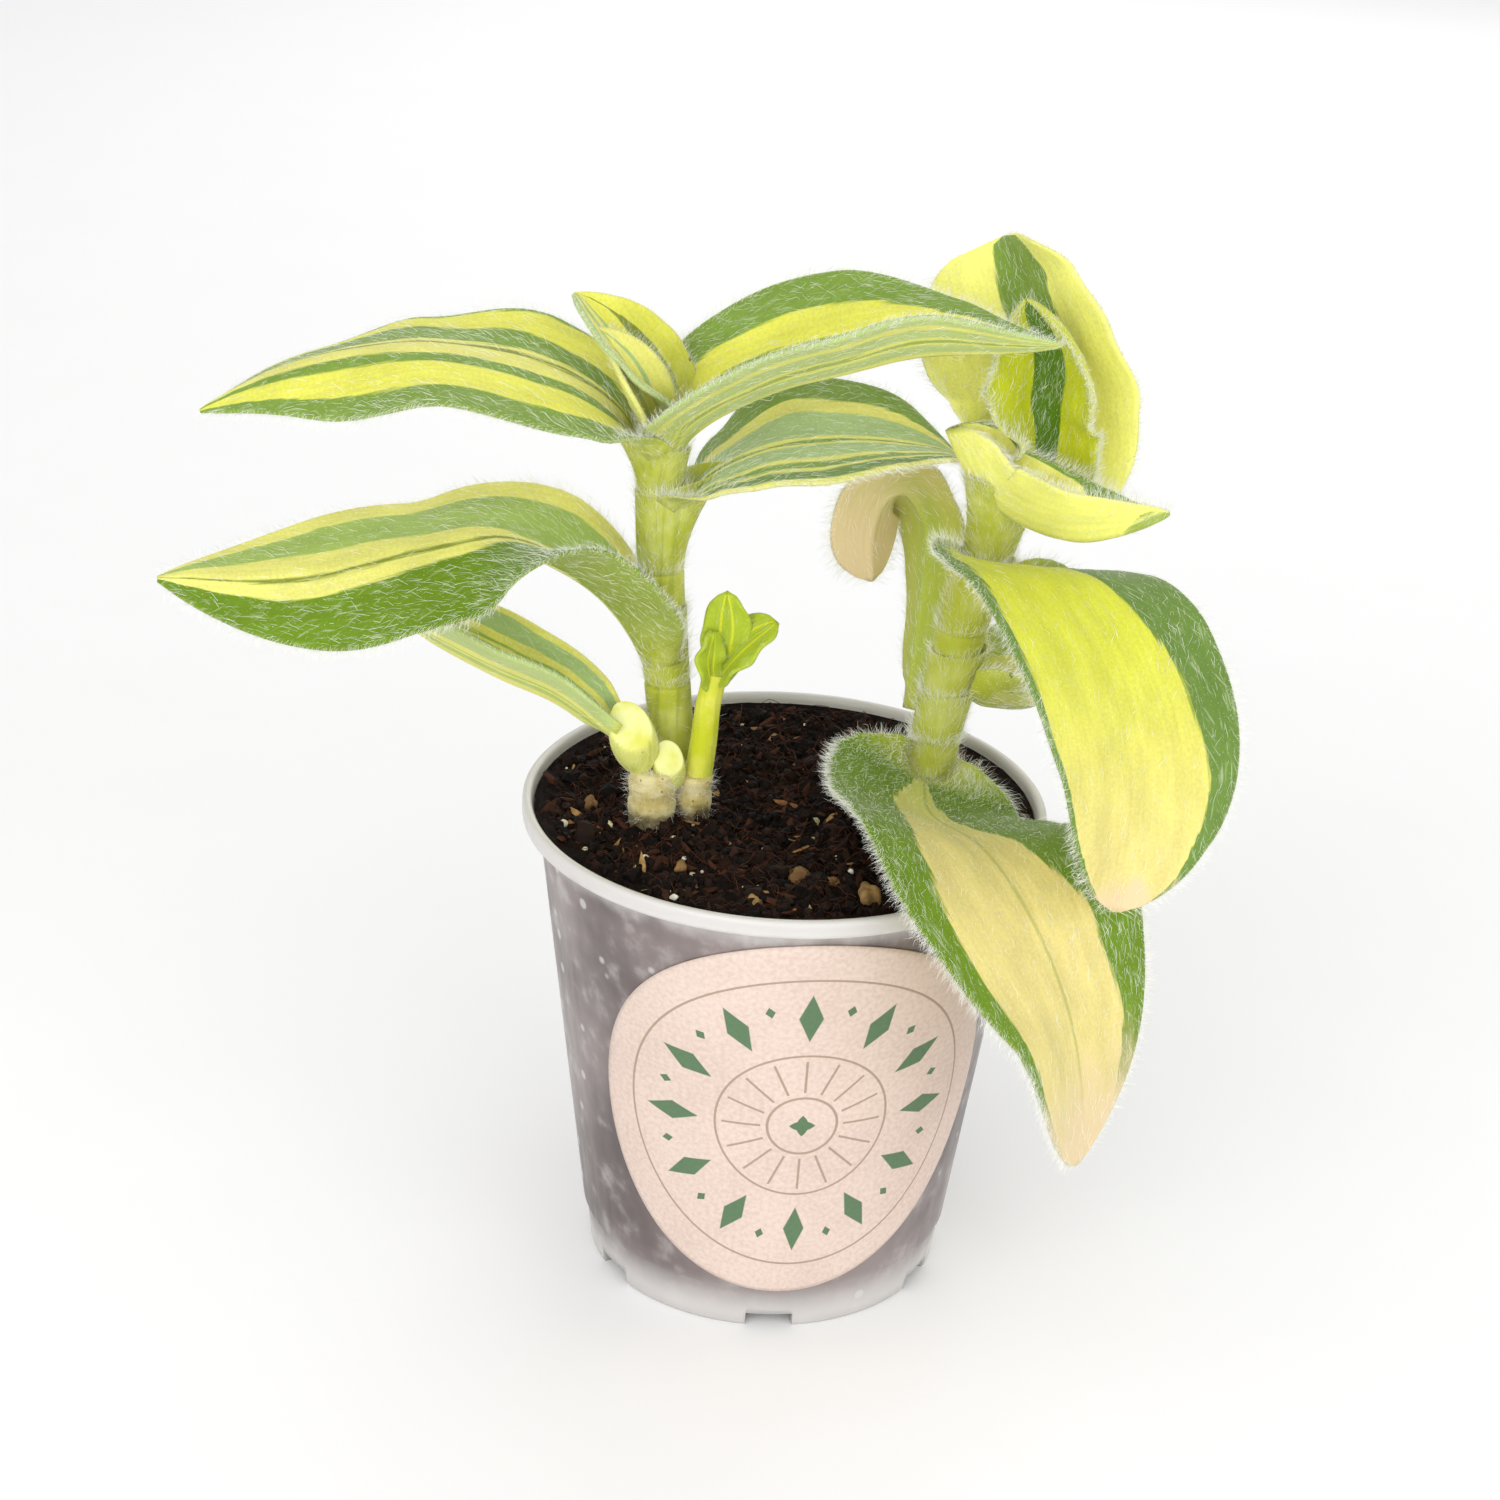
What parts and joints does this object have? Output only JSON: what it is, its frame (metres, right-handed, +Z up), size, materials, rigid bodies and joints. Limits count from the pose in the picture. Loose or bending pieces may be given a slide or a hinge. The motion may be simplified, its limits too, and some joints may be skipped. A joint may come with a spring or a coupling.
{
  "type": "potted white velvet tradescantia",
  "caption": "Small potted houseplant with striped, white-haired leaves on leafy shoots, standing in dark soil in a thin round plastic nursery pot with a plain round paper label.",
  "frame": {"origin": "the middle of the bounding box, at the level of the surface that the pot stands on", "axes": "+Z up along the pot's axis, -Y out through the front of the pot, where the label is, and +X to the right seen from the front"},
  "size_m": [0.1278, 0.0766, 0.1334],
  "materials": {
    "pot_plastic": "satin",
    "label_paper": "matte",
    "soil": "matte",
    "stem": "matte",
    "old_cane": "matte",
    "side_shoot": "matte",
    "leaf": "matte",
    "young_leaf": "matte"
  },
  "bodies": {
    "root": {"pot": "pot_plastic", "label": "label_paper", "soil": "soil", "left_stem": "stem", "right_stem": "stem", "left_old_cane": "old_cane", "left_old_leaf": "leaf", "left_side_shoot": "side_shoot", "left_bud": "young_leaf", "left_leaf_lowest": "leaf", "left_leaf_second": "leaf", "left_leaf_third": "leaf", "left_leaf_fourth": "leaf", "right_leaf_lowest": "leaf", "right_leaf_second": "leaf", "right_leaf_third": "leaf", "right_leaf_fourth": "leaf", "right_leaf_fifth": "leaf", "right_leaf_sixth": "leaf", "right_young_leaf": "young_leaf"}
  },
  "joints": []
}
